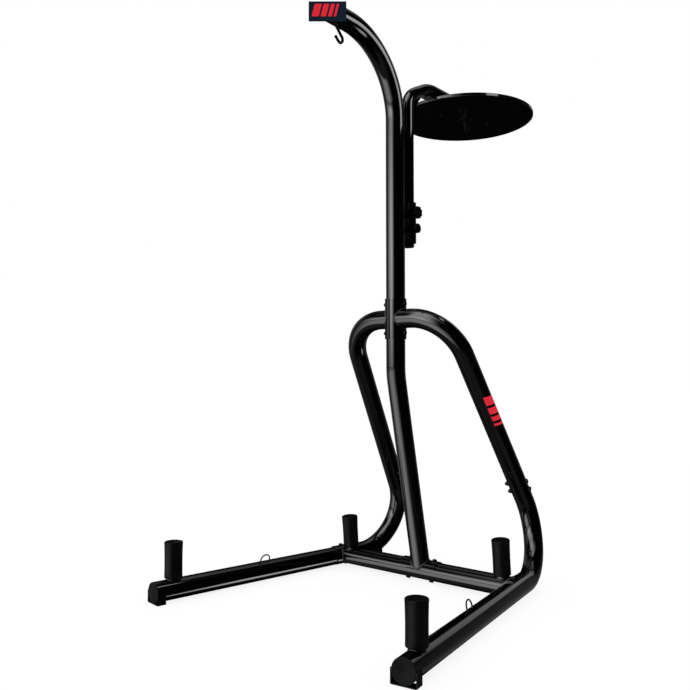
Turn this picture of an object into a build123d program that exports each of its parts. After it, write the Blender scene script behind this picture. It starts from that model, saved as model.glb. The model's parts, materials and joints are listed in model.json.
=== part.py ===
from build123d import *
import os
from math import cos, radians, sin

# Two-station boxing stand: a bent post carries a heavy bag at the front, and a round
# speed bag board on a height-adjustable tube behind it. The base is two swept side
# frames joined by a crossbeam.
#
# The model is built with the post's axis at x = y = 0 and the floor at z = 0. +X is the
# stand's right as seen from the bag side, and -Y points to the heavy bag. Each part is
# moved by ROW_SHIFT as it is saved, which centres the whole stand on the row's origin.

# Main frame tube
TUBE_R = 38.0
TUBE_WALL = 2.0
TUBE_INNER_R = TUBE_R - TUBE_WALL
SLEEVE_FIT = 0.1

# Right leg and side frame: corners of the centre line, mirrored for the left
LEG_Z = 41.0
SHOULDER_Z = 1062.4
LEG_FRONT = Vector(565.0, -732.0, LEG_Z)
REAR_CORNER = Vector(356.4, 619.5, LEG_Z)
SHOULDER_CORNER = Vector(245.4, 0, SHOULDER_Z)
REAR_BEND_R = 200.0
SHOULDER_BEND_R = 190.0
SPLICE_FROM_CORNER = 406.0
LEG_DIR = (REAR_CORNER - LEG_FRONT).normalized()
SIDE_DIR = (SHOULDER_CORNER - REAR_CORNER).normalized()
BEND_NORMAL = LEG_DIR.cross(SIDE_DIR).normalized()
LEG_ACROSS = LEG_DIR.cross(Vector(0, 0, 1)).normalized()
SPLICE = REAR_CORNER + SIDE_DIR * SPLICE_FROM_CORNER

# Crossbeam and the foot of the post
BEAM_Y = 171.4
BEAM_Z = 45.0
SADDLE_THICK = 4.0
LEG_SADDLE_LENGTH = 116.0
FOOT_PLATE_LENGTH = 170.0
FOOT_PLATE_ARC = 130.0
FOOT_BOLT_X = 57.0
FOOT_BOLT_LEAN = 18.0
CORNER_BOLT_Y = 160.0

# Post and bag arm
POST_KINK_Z = 840.0
POST_KINK_R = 300.0
ARM_Z = 2163.5
ARM_BEND_R = 300.0
ARM_END_Y = -385.0
BADGE_TURN = 40.4
BADGE_WIDTH = 138.0
BADGE_HEIGHT = 74.0
BADGE_THICK = 3.0
BADGE_OFFSET = -16.6
BADGE_Z = 2167.0

# Collar that joins the side tubes to the post
COLLAR_R = 43.0
COLLAR_INNER_R = 38.1
COLLAR_LOW_Z = 983.0
COLLAR_HIGH_Z = 1143.0
COLLAR_ARC = 170.0
COLLAR_BOLT_Z = (1007.0, 1122.0)

# Weight pegs
PEG_POST_R = 24.0
PEG_POST_INNER_R = 22.0
PEG_REACH = 175.5
PEG_GRIP_R = (33.7, 33.1, 34.8)
PEG_CROWN = 10.0
FRONT_PEG = Vector(552.9, -653.3, LEG_Z)
REAR_PEG_X = 371.5
REAR_PEG_LEAN = 4.75

# Feet and tie-down eyelets
FOOT_SHEET = 3.0
FRONT_FOOT_LENGTH = 33.0
REAR_FOOT_LENGTH = 70.0
REAR_FOOT_Y = 340.0
EYELET_Y = -250.0
EYELET_WIRE_R = 2.7
EYELET_HALF_SPAN = 21.5
EYELET_HEIGHT = 32.0
EYELET_LEAN = 14.0

# Bag hook
HOOK_WIRE_R = 5.3
HOOK_ROUTE = ((-368.0, 2128.0), (-320.6, 2082.2), (-340.0, 2062.0), (-367.0, 2084.0))
HOOK_BEND_R = 13.0

# Height-adjustable speed bag arm
SLIDE_Y = 85.6
SLIDE_R = 25.4
SLIDE_INNER_R = 23.4
SLIDE_LOW_Z = 1365.0
SLIDE_CORNERS = ((85.6, 1990.3), (233.6, 2063.0))
SLIDE_BEND_R = (85.2, 174.8)
OVERARM_END_Y = 690.0
SLEEVE_R = 34.0
SLEEVE_INNER_R = 31.0
SLEEVE_WEB_X = (18.0, 22.0)
SLEEVE_LOW_Z = 1378.5
SLEEVE_HIGH_Z = 1543.0
RUNNING_GAP = 0.06
PIN_Z = 1434.5
CLAMP_Z = 1499.0
HOLE_STEP = 50.0
HOLE_COUNT = 7

# Spring pin and clamp screw, distances from the slide's centre along +X
PIN_R = 5.0
PIN_TIP_X = 20.0
PIN_COLLAR_X = (34.4, 35.9)
PIN_COLLAR_R = 6.6
PIN_STEM_R = 3.0
BARREL_R = 9.0
BARREL_INNER_R = 7.0
BARREL_WALL_X = (47.1, 48.6)
PIN_KNOB_R = 19.5
PIN_KNOB_X = (41.1, 53.1)
SPRING_WIRE_R = 0.5
SPRING_R = 5.2
SPRING_TURNS = 3
SCREW_TIP_X = 25.8
SCREW_END_X = 51.8
BOSS_X = 38.3
BOSS_R = 10.0
CLAMP_KNOB_R = 25.0
CLAMP_KNOB_X = (39.3, 55.8)

# Board, its plate and the bag swivel
BOARD_Y = 541.6
BOARD_R = 302.5
BOARD_LOW_Z = 2011.0
BOARD_HIGH_Z = 2024.0
PLATE_THICK = 3.0
PLATE_WIDTH = 130.0
PLATE_LENGTH = 290.0
RAIL_FRONT_Y = 215.0
RAIL_HALF_WIDTH = 20.0
RAIL_WALL = 3.0
GUSSET_THICK = 4.0
GUSSET_EDGE = ((105.0, 1912.0), (130.0, 1934.0), (147.0, 1962.0), (161.0, 1986.0), (179.0, 2005.0))
BOARD_BOLT_X = 50.0
BOARD_BOLT_DY = 120.0
SWIVEL_FLANGE_R = 33.0
SWIVEL_FLANGE_THICK = 3.0
SWIVEL_SCREW_CIRCLE_R = 23.0
SWIVEL_BOSS_R = 11.0
SWIVEL_BOSS_LOW_Z = 1998.0
SPINDLE_R = 5.0
SPINDLE_HEAD_R = 8.0
YOKE_SIZE = (18.0, 12.0, 14.5)
YOKE_SLOT = 7.0
YOKE_TOP_Z = 1997.5
RING_PIVOT_Z = 1988.0
RING_PIN_R = 2.5
RING_Z = 1963.0
RING_R = 6.8
RING_WIRE_R = 2.2
TANG_THICK = 6.0

# Fasteners: shank radius, width across flats, head height, nut height
M10 = (5.0, 16.0, 6.4, 8.4)
M10_THIN = (5.0, 16.0, 6.4, 6.0)
M8 = (4.0, 13.0, 5.3, 6.0)
M10_HOLE_R = 5.3
M8_HOLE_R = 4.3

# The row's origin is under the middle of the stand's box, from feet to board rim
CAP_THICK = 3.0
FOOT_FRONT = LEG_FRONT - LEG_DIR * CAP_THICK - LEG_ACROSS * (TUBE_R + FOOT_SHEET)
ROW_SHIFT = Pos(0, -(FOOT_FRONT.Y + BOARD_Y + BOARD_R) / 2, 0)


def saved(node, *solids):
    """Write one node, its solids moved into the row's frame."""
    pieces = []
    for solid in solids:
        pieces.extend((ROW_SHIFT * solid).solids())
    shape = pieces[0] if len(pieces) == 1 else Compound(children=pieces)
    shape.label = node
    export_step(shape, os.path.join("parts", node + ".step"))


def saved_pair(name, right):
    """Write a right-hand piece and its mirror image."""
    saved("right_" + name, right)
    saved("left_" + name, mirror(right, about=Plane.YZ))


def with_mirror(solid):
    """A solid and its mirror image on the left."""
    return (solid, mirror(solid, about=Plane.YZ))


def route_of(points, bend_radii):
    """A centre line: straight runs with a tangent arc at each corner."""
    if bend_radii:
        return FilletPolyline(*points, radius=bend_radii)
    return Line(*points)


def swept(points, bend_radii, outer_r, inner_r=0.0):
    """A round bar, or a tube when it has an inner radius, along a centre line."""
    route = route_of(points, bend_radii)
    start = Plane(origin=route @ 0, z_dir=route % 0)
    section = Circle(outer_r)
    if inner_r:
        section = section - Circle(inner_r)
    return sweep(start * section, path=route)


def bar(start, end, radius, inner_r=0.0):
    """A straight round bar or tube between two points."""
    return swept((start, end), None, radius, inner_r)


def shell(inner_r, outer_r, length, arc):
    """A curved plate about Z, centred on +X and on z = 0."""
    section = Plane.XZ * Pos((inner_r + outer_r) / 2, 0) * Rectangle(outer_r - inner_r, length)
    return Rot(0, 0, -arc / 2) * revolve(section, axis=Axis.Z, revolution_arc=arc)


def hexagon(across_flats, height):
    """A hexagonal prism on z = 0 with its top corners turned down."""
    prism = extrude(RegularPolygon(across_flats / 2, 6, major_radius=False), height)
    blank = extrude(Circle(across_flats * 0.57), height)
    blank = chamfer(blank.edges().group_by(Axis.Z)[-1], across_flats * 0.06)
    return prism & blank


def hex_bolt(size, length):
    """A bolt whose head sits on z = 0 and whose shank points down."""
    shank_r, flats, head, _ = size
    shank = Pos(0, 0, -length) * extrude(Circle(shank_r), length)
    shank = chamfer(shank.edges().group_by(Axis.Z)[0], 0.8)
    return hexagon(flats, head) + shank


def hex_nut(size):
    """An open nut standing on z = 0."""
    shank_r, flats, _, height = size
    return hexagon(flats, height) - extrude(Circle(shank_r + 0.02), height)


def dome_nut(size):
    """A cap nut standing on z = 0, closed by its dome."""
    shank_r, flats, _, height = size
    dome_r = flats * 0.47
    dome = Pos(0, 0, height - 0.5) * Sphere(dome_r)
    dome = split(dome, bisect_by=Plane.XY.offset(height - 0.5), keep=Keep.TOP)
    solid = hexagon(flats, height) + dome
    return solid - extrude(Circle(shank_r + 0.02), height + 2)


def facing(origin, direction):
    """A place whose +Z is the given direction."""
    return Plane(origin=origin, z_dir=direction).location


def hole(point, direction, radius, half_length):
    """A cutter through a point."""
    offset = Vector(*direction) * half_length
    return bar(point - offset, point + offset, radius)


def leg_route():
    return (LEG_FRONT, REAR_CORNER, SPLICE)


def leg_bar(radius):
    """The leg's centre line as a solid bar, to fit other pieces to."""
    return swept(leg_route(), [REAR_BEND_R], radius)


def leg_point(y):
    """The point of the leg's straight centre line at a given y."""
    return LEG_FRONT + LEG_DIR * ((y - LEG_FRONT.Y) / LEG_DIR.Y)


def splice_bolt_points():
    """Where the two bolts of a splice cross the tube's centre line."""
    bolt_spread = 18.8
    return [SPLICE + SIDE_DIR * offset for offset in (-bolt_spread, bolt_spread)]


def slide_point(x, z):
    """A point beside the speed bag slide."""
    return Vector(x, SLIDE_Y, z)


# ---------------------------------------------------------------- side frames

def make_leg_tube():
    tube = swept(leg_route(), [REAR_BEND_R], TUBE_R, TUBE_INNER_R)
    low_bolt = splice_bolt_points()[0]
    tube -= hole(low_bolt, BEND_NORMAL, M10_HOLE_R, TUBE_R + 5)
    top = leg_point(CORNER_BOLT_Y) + Vector(0, 0, TUBE_R)
    return tube - hole(top, (0, 0, 1), M10_HOLE_R, 10)


def make_side_tube():
    end = Vector(8, 0, SHOULDER_Z)
    tube = swept((SPLICE, SHOULDER_CORNER, end), [SHOULDER_BEND_R], TUBE_R, TUBE_INNER_R)
    tube -= Pos(0, 0, SHOULDER_Z) * Cylinder(COLLAR_R, 200)
    high_bolt = splice_bolt_points()[1]
    return tube - hole(high_bolt, BEND_NORMAL, M10_HOLE_R, TUBE_R + 5)


def make_splice_sleeve():
    half = 45.0
    outer_r = TUBE_INNER_R - SLEEVE_FIT
    sleeve = bar(SPLICE - SIDE_DIR * half, SPLICE + SIDE_DIR * half, outer_r, outer_r - 3)
    for point in splice_bolt_points():
        sleeve -= hole(point, BEND_NORMAL, M10_HOLE_R, TUBE_R)
    return sleeve


def make_splice_fasteners():
    """Heads on the outer side, cap nuts on the inner side."""
    bolts = []
    nuts = []
    for point in splice_bolt_points():
        head_seat = facing(point + BEND_NORMAL * TUBE_R, BEND_NORMAL)
        nut_seat = facing(point - BEND_NORMAL * TUBE_R, BEND_NORMAL * -1)
        bolts.extend(with_mirror(head_seat * hex_bolt(M10, 2 * TUBE_R + 9)))
        nuts.extend(with_mirror(nut_seat * dome_nut(M10)))
    return bolts, nuts


def make_leg_end_cap():
    """A flat cap with a barrel that is pressed into the leg."""
    cap = bar(LEG_FRONT - LEG_DIR * CAP_THICK, LEG_FRONT, TUBE_R)
    barrel_r = TUBE_INNER_R - SLEEVE_FIT
    return cap + bar(LEG_FRONT, LEG_FRONT + LEG_DIR * 14, barrel_r, barrel_r - 3)


def foot_section(height):
    """A U of sheet as wide as the tube, standing on y = 0, with +X on the inner side."""
    half = TUBE_R + FOOT_SHEET
    inner_height = height - FOOT_SHEET
    outline = Pos(0, height / 2) * Rectangle(2 * half, height)
    outline = fillet(outline.vertices().group_by(Axis.Y)[0], 4)
    inside = Pos(0, FOOT_SHEET + inner_height / 2 + 1) * Rectangle(2 * TUBE_R, inner_height + 2)
    return outline - fillet(inside.vertices().group_by(Axis.Y)[0], 1.5)


def foot_place(start):
    """A place on the floor below the leg, with +Y up and +Z towards the rear."""
    return Plane(origin=Vector(start.X, start.Y, 0), x_dir=LEG_ACROSS * -1, z_dir=LEG_DIR).location


def make_front_foot():
    """A sheet strap bent into a U that stands on the floor and holds the tube."""
    start = LEG_FRONT - LEG_DIR * CAP_THICK
    return foot_place(start) * extrude(foot_section(LEG_Z + 4), FRONT_FOOT_LENGTH)


def make_rear_foot():
    """An L of sheet under the inner half of the rear bend, where the tube rises."""
    rise_dir = (SIDE_DIR - LEG_DIR * SIDE_DIR.dot(LEG_DIR)).normalized()
    tangent = REAR_BEND_R * (1 - SIDE_DIR.dot(LEG_DIR)) / LEG_DIR.cross(SIDE_DIR).length
    bend_start = REAR_CORNER - LEG_DIR * tangent
    along = (REAR_FOOT_Y - bend_start.Y) / LEG_DIR.Y
    rise = REAR_BEND_R - (REAR_BEND_R ** 2 - along ** 2) ** 0.5
    centre = bend_start + LEG_DIR * along + rise_dir * rise
    outer_half = Pos(-50, 50) * Rectangle(100, 200)
    section = foot_section(centre.Z + 8) - outer_half
    start = centre - LEG_DIR * REAR_FOOT_LENGTH / 2
    return foot_place(start) * extrude(section, REAR_FOOT_LENGTH) - leg_bar(TUBE_R)


def make_eyelet():
    """A wire arch for a tie-down cord, welded on top of the leg and leaning inwards."""
    base = leg_point(EYELET_Y)
    lean = radians(EYELET_LEAN)
    up = Vector(0, 0, 1) * cos(lean) - LEG_ACROSS * sin(lean)
    low = up * (TUBE_R - 8)
    high = up * (TUBE_R + EYELET_HEIGHT - EYELET_WIRE_R)
    span = LEG_DIR * EYELET_HALF_SPAN
    points = (base - span + low, base - span + high, base + span + high, base + span + low)
    arch = swept(points, [EYELET_HALF_SPAN - 0.5] * 2, EYELET_WIRE_R)
    return arch - leg_bar(TUBE_R)


# ---------------------------------------------------------------- weight pegs

def peg_place(right_front):
    """Base point and direction of a right-hand peg."""
    if right_front:
        return FRONT_PEG, Vector(0, 0, 1)
    lean = radians(REAR_PEG_LEAN)
    return Vector(REAR_PEG_X, BEAM_Y, BEAM_Z), Vector(0, -sin(lean), cos(lean))


def make_peg(right_front):
    """A steel peg and its moulded rubber cover."""
    base, up = peg_place(right_front)
    reach = PEG_REACH
    post = bar(base + up * 20, base + up * (reach - PEG_CROWN), PEG_POST_R, PEG_POST_INNER_R)
    if right_front:
        post -= leg_bar(TUBE_R)
    else:
        post -= beam_bar(TUBE_R)
    low = TUBE_R + 3
    low_r, mid_r, top_r = PEG_GRIP_R
    side = ThreePointArc((low_r, low), (mid_r, (low + reach) / 2), (top_r, reach))
    rest = Polyline((top_r, reach), (0, reach), (0, low), (low_r, low))
    cover = revolve(Plane.XZ * make_face(side + rest), axis=Axis.Z)
    cover = fillet(cover.edges().group_by(Axis.Z)[-1], 6)
    cover = fillet(cover.edges().group_by(Axis.Z)[0], 4)
    cover -= Pos(0, 0, low) * extrude(Circle(PEG_POST_R), reach - PEG_CROWN - low)
    return post, facing(base, up) * cover


# ---------------------------------------------------------------- crossbeam

def beam_bar(radius):
    """The crossbeam's centre line as a solid bar."""
    end = REAR_PEG_X + 50
    return bar(Vector(-end, BEAM_Y, BEAM_Z), Vector(end, BEAM_Y, BEAM_Z), radius)


def foot_bolt_points():
    """Where the post's foot bolts cross the beam's centre line."""
    return [Vector(x, BEAM_Y, BEAM_Z) for x in (-FOOT_BOLT_X, FOOT_BOLT_X)]


def foot_bolt_direction():
    """The bolts lean back, so that their nuts clear the floor at the front."""
    lean = radians(FOOT_BOLT_LEAN)
    return Vector(0, sin(lean), cos(lean))


def make_crossbeam():
    beam = beam_bar(TUBE_R) - beam_bar(TUBE_INNER_R)
    for cutter in with_mirror(bar(LEG_FRONT, REAR_CORNER, TUBE_R + SADDLE_THICK)):
        beam -= cutter
    for cutter in with_mirror(hole(leg_point(CORNER_BOLT_Y), (0, 0, 1), 10, 100)):
        beam -= cutter
    for centre in foot_bolt_points():
        beam -= hole(centre, foot_bolt_direction(), M10_HOLE_R, TUBE_R + 5)
    return beam


def make_leg_saddle():
    """A curved plate on the beam's end that wraps the leg's top and inner side."""
    arc = 155.0
    lowest = -50.0
    plate = shell(TUBE_R, TUBE_R + SADDLE_THICK, LEG_SADDLE_LENGTH, arc)
    middle = radians(lowest + arc / 2)
    centre = leg_point(BEAM_Y)
    inward = LEG_ACROSS * -1
    x_dir = inward * cos(middle) + Vector(0, 0, 1) * sin(middle)
    place = Plane(origin=centre, x_dir=x_dir, z_dir=LEG_DIR)
    plate = place.location * plate
    return plate - hole(leg_point(CORNER_BOLT_Y) + Vector(0, 0, TUBE_R), (0, 0, 1), M10_HOLE_R, 10)


def make_corner_fasteners():
    """Bolts through each leg's top into a nut welded inside the tube."""
    head_z = TUBE_R + SADDLE_THICK
    top = leg_point(CORNER_BOLT_Y)
    bolt = Pos(*(top + Vector(0, 0, head_z))) * hex_bolt(M10, 19)
    nut_top = TUBE_INNER_R - 1.4
    nut = Pos(*(top + Vector(0, 0, nut_top - M10[3]))) * hex_nut(M10)
    return with_mirror(bolt), with_mirror(nut)


def make_foot_plate():
    """A curved plate under the post that sits on the crossbeam's back."""
    plate = shell(TUBE_R, TUBE_R + SADDLE_THICK, FOOT_PLATE_LENGTH, FOOT_PLATE_ARC)
    place = Plane(origin=Vector(0, BEAM_Y, BEAM_Z), x_dir=(0, 0, 1), z_dir=(1, 0, 0))
    plate = place.location * plate
    up = foot_bolt_direction()
    for centre in foot_bolt_points():
        plate -= hole(centre + up * TUBE_R, up, M10_HOLE_R, 10)
    return plate


def make_foot_fasteners():
    bolts = []
    nuts = []
    up = foot_bolt_direction()
    grip = 2 * TUBE_R + SADDLE_THICK
    for centre in foot_bolt_points():
        head_seat = facing(centre + up * (TUBE_R + SADDLE_THICK), up)
        nut_seat = facing(centre - up * TUBE_R, up * -1)
        bolts.append(head_seat * hex_bolt(M10_THIN, grip + M10_THIN[3] + 0.3))
        nuts.append(nut_seat * hex_nut(M10_THIN))
    return bolts, nuts


# ---------------------------------------------------------------- post and bag arm

def collar_bolt_hole(z):
    return hole(Vector(0, 0, z), (1, 0, 0), M10_HOLE_R, COLLAR_R + 10)


def make_lower_post():
    foot = Vector(0, BEAM_Y, BEAM_Z)
    points = (Vector(0, 0, SHOULDER_Z), Vector(0, 0, POST_KINK_Z), foot)
    post = swept(points, [POST_KINK_R], TUBE_R, TUBE_INNER_R)
    post -= beam_bar(TUBE_R + SADDLE_THICK)
    post = post.solids().sort_by(SortBy.VOLUME)[-1]
    return post - collar_bolt_hole(COLLAR_BOLT_Z[0])


def mitre_plane():
    """The slanted face at the arm's end, its normal pointing away from the tube."""
    turn = radians(BADGE_TURN)
    normal = Vector(sin(turn), -cos(turn), 0)
    along = Vector(cos(turn), sin(turn), 0)
    return Plane(origin=Vector(0, ARM_END_Y, ARM_Z), x_dir=along, z_dir=normal)


def beyond_mitre(offset=0.0):
    """Everything past the arm's slanted end."""
    return mitre_plane().offset(offset).location * Pos(0, 0, 150) * Box(400, 400, 300)


def make_upper_post():
    points = (Vector(0, 0, SHOULDER_Z), Vector(0, 0, ARM_Z), Vector(0, ARM_END_Y - 70, ARM_Z))
    post = swept(points, [ARM_BEND_R], TUBE_R, TUBE_INNER_R)
    post -= beyond_mitre()
    return post - collar_bolt_hole(COLLAR_BOLT_Z[1])


def make_post_sleeve():
    """The inner tube that lines up the two halves of the post."""
    outer_r = TUBE_INNER_R - SLEEVE_FIT
    low = Vector(0, 0, COLLAR_LOW_Z - 10)
    sleeve = bar(low, Vector(0, 0, COLLAR_HIGH_Z + 10), outer_r, outer_r - 3)
    for z in COLLAR_BOLT_Z:
        sleeve -= collar_bolt_hole(z)
    return sleeve


def make_collar_half():
    """The curved plate on the end of a side tube, which clasps the post."""
    height = COLLAR_HIGH_Z - COLLAR_LOW_Z
    half = Pos(0, 0, COLLAR_LOW_Z + height / 2) * shell(COLLAR_INNER_R, COLLAR_R, height, COLLAR_ARC)
    for z in COLLAR_BOLT_Z:
        half -= collar_bolt_hole(z)
    return half


def make_collar_fasteners():
    bolts = []
    nuts = []
    for z in COLLAR_BOLT_Z:
        bolts.append(facing(Vector(COLLAR_R, 0, z), (1, 0, 0)) * hex_bolt(M10, 2 * COLLAR_R + 9))
        nuts.append(facing(Vector(-COLLAR_R, 0, z), (-1, 0, 0)) * dome_nut(M10))
    return bolts, nuts


def make_arm_end_plug():
    """A disc welded inside the arm's slanted end, which backs the badge plate."""
    behind = Vector(0, ARM_END_Y + 90, ARM_Z)
    ahead = Vector(0, ARM_END_Y - 90, ARM_Z)
    plug = bar(behind, ahead, TUBE_INNER_R) - beyond_mitre()
    return plug & beyond_mitre(-6)


def make_badge():
    """The plain sheet plate that faces the user on the end of the arm."""
    plate = extrude(RectangleRounded(BADGE_WIDTH, BADGE_HEIGHT, 2), BADGE_THICK)
    plate = chamfer(plate.edges().group_by(Axis.Z)[-1], 0.5)
    return mitre_plane().location * Pos(BADGE_OFFSET, BADGE_Z - ARM_Z, 0) * plate


def make_bag_hook():
    """The bent wire hook under the arm, its shank let into the tube's lower wall."""
    points = [Vector(0, y, z) for y, z in HOOK_ROUTE]
    hook = swept(points, [HOOK_BEND_R] * 2, HOOK_WIRE_R)
    arm = bar(Vector(0, -300, ARM_Z), Vector(0, -420, ARM_Z), TUBE_R)
    return (hook - arm).solids().sort_by(SortBy.VOLUME)[-1]


# ---------------------------------------------------------------- speed bag slide

def post_bar():
    """The upright part of the post as a solid bar."""
    return bar(Vector(0, 0, SLEEVE_LOW_Z - 50), Vector(0, 0, SLEEVE_HIGH_Z + 50), TUBE_R)


def make_slide_sleeve():
    """The outer sleeve, with two webs that stand it off the back of the post."""
    height = SLEEVE_HIGH_Z - SLEEVE_LOW_Z
    web_width = SLEEVE_WEB_X[1] - SLEEVE_WEB_X[0]
    sleeve = bar(slide_point(0, SLEEVE_LOW_Z), slide_point(0, SLEEVE_HIGH_Z), SLEEVE_R)
    for side in (-1, 1):
        web_x = side * (SLEEVE_WEB_X[0] + SLEEVE_WEB_X[1]) / 2
        sleeve += Pos(web_x, SLIDE_Y / 2, SLEEVE_LOW_Z + height / 2) * Box(web_width, SLIDE_Y, height)
    sleeve -= bar(slide_point(0, SLEEVE_LOW_Z), slide_point(0, SLEEVE_HIGH_Z), SLEEVE_INNER_R)
    sleeve -= post_bar()
    sleeve = sleeve.solids().sort_by(SortBy.VOLUME)[-1]
    sleeve -= bar(slide_point(25, PIN_Z), slide_point(45, PIN_Z), PIN_R + RUNNING_GAP)
    return sleeve - bar(slide_point(25, CLAMP_Z), slide_point(45, CLAMP_Z), M10_HOLE_R)


def make_slide_liner():
    """The plastic bush between the sleeve and the sliding tube."""
    bore_r = SLIDE_R + RUNNING_GAP
    liner = bar(slide_point(0, SLEEVE_LOW_Z), slide_point(0, SLEEVE_HIGH_Z), SLEEVE_INNER_R, bore_r)
    liner -= bar(slide_point(25, PIN_Z), slide_point(45, PIN_Z), PIN_R + 0.4)
    return liner - bar(slide_point(25, CLAMP_Z), slide_point(45, CLAMP_Z), M10_HOLE_R)


def sleeve_bar():
    return bar(slide_point(0, SLEEVE_LOW_Z - 50), slide_point(0, SLEEVE_HIGH_Z + 50), SLEEVE_R)


def slide_swept(radius, inner_r=0.0):
    """A bar or tube along the sliding tube's centre line."""
    points = [Vector(0, SLIDE_Y, SLIDE_LOW_Z)]
    points += [Vector(0, y, z) for y, z in SLIDE_CORNERS]
    points.append(Vector(0, OVERARM_END_Y, SLIDE_CORNERS[1][1]))
    return swept(points, list(SLIDE_BEND_R), radius, inner_r)


def make_slide_tube():
    tube = slide_swept(SLIDE_R, SLIDE_INNER_R)
    for number in range(HOLE_COUNT):
        z = PIN_Z + number * HOLE_STEP
        tube -= bar(slide_point(15, z), slide_point(45, z), PIN_R + 0.35)
    return tube


def make_gusset():
    """The web plate in the inner corner where the sliding tube turns back."""
    low_y, low_z = GUSSET_EDGE[0]
    high_y, high_z = GUSSET_EDGE[-1]
    inner_edge = Spline(*GUSSET_EDGE)
    outer_edge = Polyline((high_y, high_z), (high_y, high_z + 20), (low_y, high_z + 20), (low_y, low_z))
    web = Plane.YZ * make_face(inner_edge + outer_edge)
    web = Pos(-GUSSET_THICK / 2, 0, 0) * extrude(web, GUSSET_THICK)
    return (web - slide_swept(SLIDE_R)).solids().sort_by(Axis.Z)[0]


def tube_plug(face, inward):
    """A plastic plug closing an end of the sliding tube."""
    lip = bar(face - inward * 3, face, SLIDE_R)
    barrel_r = SLIDE_INNER_R - SLEEVE_FIT
    return lip + bar(face, face + inward * 12, barrel_r, barrel_r - 2.5)


def make_slide_plugs():
    lower_end = Vector(0, SLIDE_Y, SLIDE_LOW_Z)
    overarm_end = Vector(0, OVERARM_END_Y, SLIDE_CORNERS[1][1])
    return tube_plug(lower_end, Vector(0, 0, 1)), tube_plug(overarm_end, Vector(0, -1, 0))


def make_pin_barrel():
    """The housing of the spring pin, welded on the sleeve."""
    barrel = bar(slide_point(30, PIN_Z), slide_point(BARREL_WALL_X[1], PIN_Z), BARREL_R)
    barrel -= bar(slide_point(29, PIN_Z), slide_point(BARREL_WALL_X[0], PIN_Z), BARREL_INNER_R)
    barrel -= bar(slide_point(40, PIN_Z), slide_point(60, PIN_Z), PIN_STEM_R + RUNNING_GAP)
    return barrel - sleeve_bar()


def make_pull_pin():
    low, high = PIN_COLLAR_X
    pin = bar(slide_point(PIN_TIP_X, PIN_Z), slide_point(low, PIN_Z), PIN_R)
    pin = chamfer(pin.edges().group_by(Axis.X)[0], 1)
    pin += bar(slide_point(low, PIN_Z), slide_point(high, PIN_Z), PIN_COLLAR_R)
    return pin + bar(slide_point(high, PIN_Z), slide_point(PIN_KNOB_X[1] - 1.5, PIN_Z), PIN_STEM_R)


def make_pin_spring():
    low = PIN_COLLAR_X[1] + SPRING_WIRE_R + 0.05
    high = BARREL_WALL_X[0] - SPRING_WIRE_R - 0.05
    length = high - low
    coil = Helix(pitch=length / SPRING_TURNS, height=length, radius=SPRING_R)
    start = Plane(origin=coil @ 0, z_dir=coil % 0)
    wire = sweep(start * Circle(SPRING_WIRE_R), path=coil, is_frenet=True)
    return facing(slide_point(low, PIN_Z), (1, 0, 0)) * wire


def make_pin_knob():
    """A round pull knob, hollow at the back to pass over the barrel."""
    length = PIN_KNOB_X[1] - PIN_KNOB_X[0]
    knob = extrude(Circle(PIN_KNOB_R), length)
    knob = fillet(knob.edges().group_by(Axis.Z)[-1], 3)
    knob = fillet(knob.edges().group_by(Axis.Z)[0], 1.5)
    knob -= Pos(0, 0, length - 1.2) * extrude(Circle(14) - Circle(9), 3)
    knob -= extrude(Circle(BARREL_R + 0.6), length - 4)
    knob -= extrude(Circle(PIN_STEM_R), length - 1.5)
    return facing(slide_point(PIN_KNOB_X[0], PIN_Z), (1, 0, 0)) * knob


def make_clamp_boss():
    boss = bar(slide_point(30, CLAMP_Z), slide_point(BOSS_X, CLAMP_Z), BOSS_R)
    boss -= bar(slide_point(25, CLAMP_Z), slide_point(BOSS_X + 5, CLAMP_Z), M10[0] + RUNNING_GAP)
    return boss - sleeve_bar()


def make_clamp_screw():
    screw = bar(slide_point(SCREW_TIP_X, CLAMP_Z), slide_point(SCREW_END_X, CLAMP_Z), M10[0])
    return chamfer(screw.edges().group_by(Axis.X)[0], 1)


def make_clamp_knob():
    """A hand knob with scalloped grips round its rim."""
    length = CLAMP_KNOB_X[1] - CLAMP_KNOB_X[0]
    grips = 8
    knob = extrude(Circle(CLAMP_KNOB_R), length)
    scallop = Pos(CLAMP_KNOB_R + 3.5, 0, 0) * extrude(Circle(6.5), length)
    for number in range(grips):
        knob -= Rot(0, 0, number * 360 / grips) * scallop
    knob = fillet(knob.edges().group_by(Axis.Z)[-1], 1.8)
    knob = fillet(knob.edges().group_by(Axis.Z)[0], 1.2)
    knob -= Pos(0, 0, length - 1) * extrude(Circle(10), 2)
    knob -= extrude(Circle(M10[0]), SCREW_END_X - CLAMP_KNOB_X[0])
    return facing(slide_point(CLAMP_KNOB_X[0], CLAMP_Z), (1, 0, 0)) * knob


# ---------------------------------------------------------------- board and swivel

def board_bolt_spots():
    spots = []
    for x in (-BOARD_BOLT_X, BOARD_BOLT_X):
        for dy in (-BOARD_BOLT_DY, BOARD_BOLT_DY):
            spots.append((x, BOARD_Y + dy))
    return spots


def swivel_screw_spots():
    spots = []
    for number in range(4):
        angle = radians(45 + 90 * number)
        spots.append((SWIVEL_SCREW_CIRCLE_R * cos(angle), BOARD_Y + SWIVEL_SCREW_CIRCLE_R * sin(angle)))
    return spots


def make_board():
    thick = BOARD_HIGH_Z - BOARD_LOW_Z
    board = Pos(0, BOARD_Y, BOARD_LOW_Z) * extrude(Circle(BOARD_R), thick)
    board = fillet(board.edges(), 1.5)
    for x, y in board_bolt_spots():
        board -= Pos(x, y, BOARD_LOW_Z) * extrude(Circle(M8_HOLE_R), thick)
    for x, y in swivel_screw_spots():
        board -= Pos(x, y, BOARD_LOW_Z) * extrude(Circle(2.0), 9)
    return board


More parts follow.
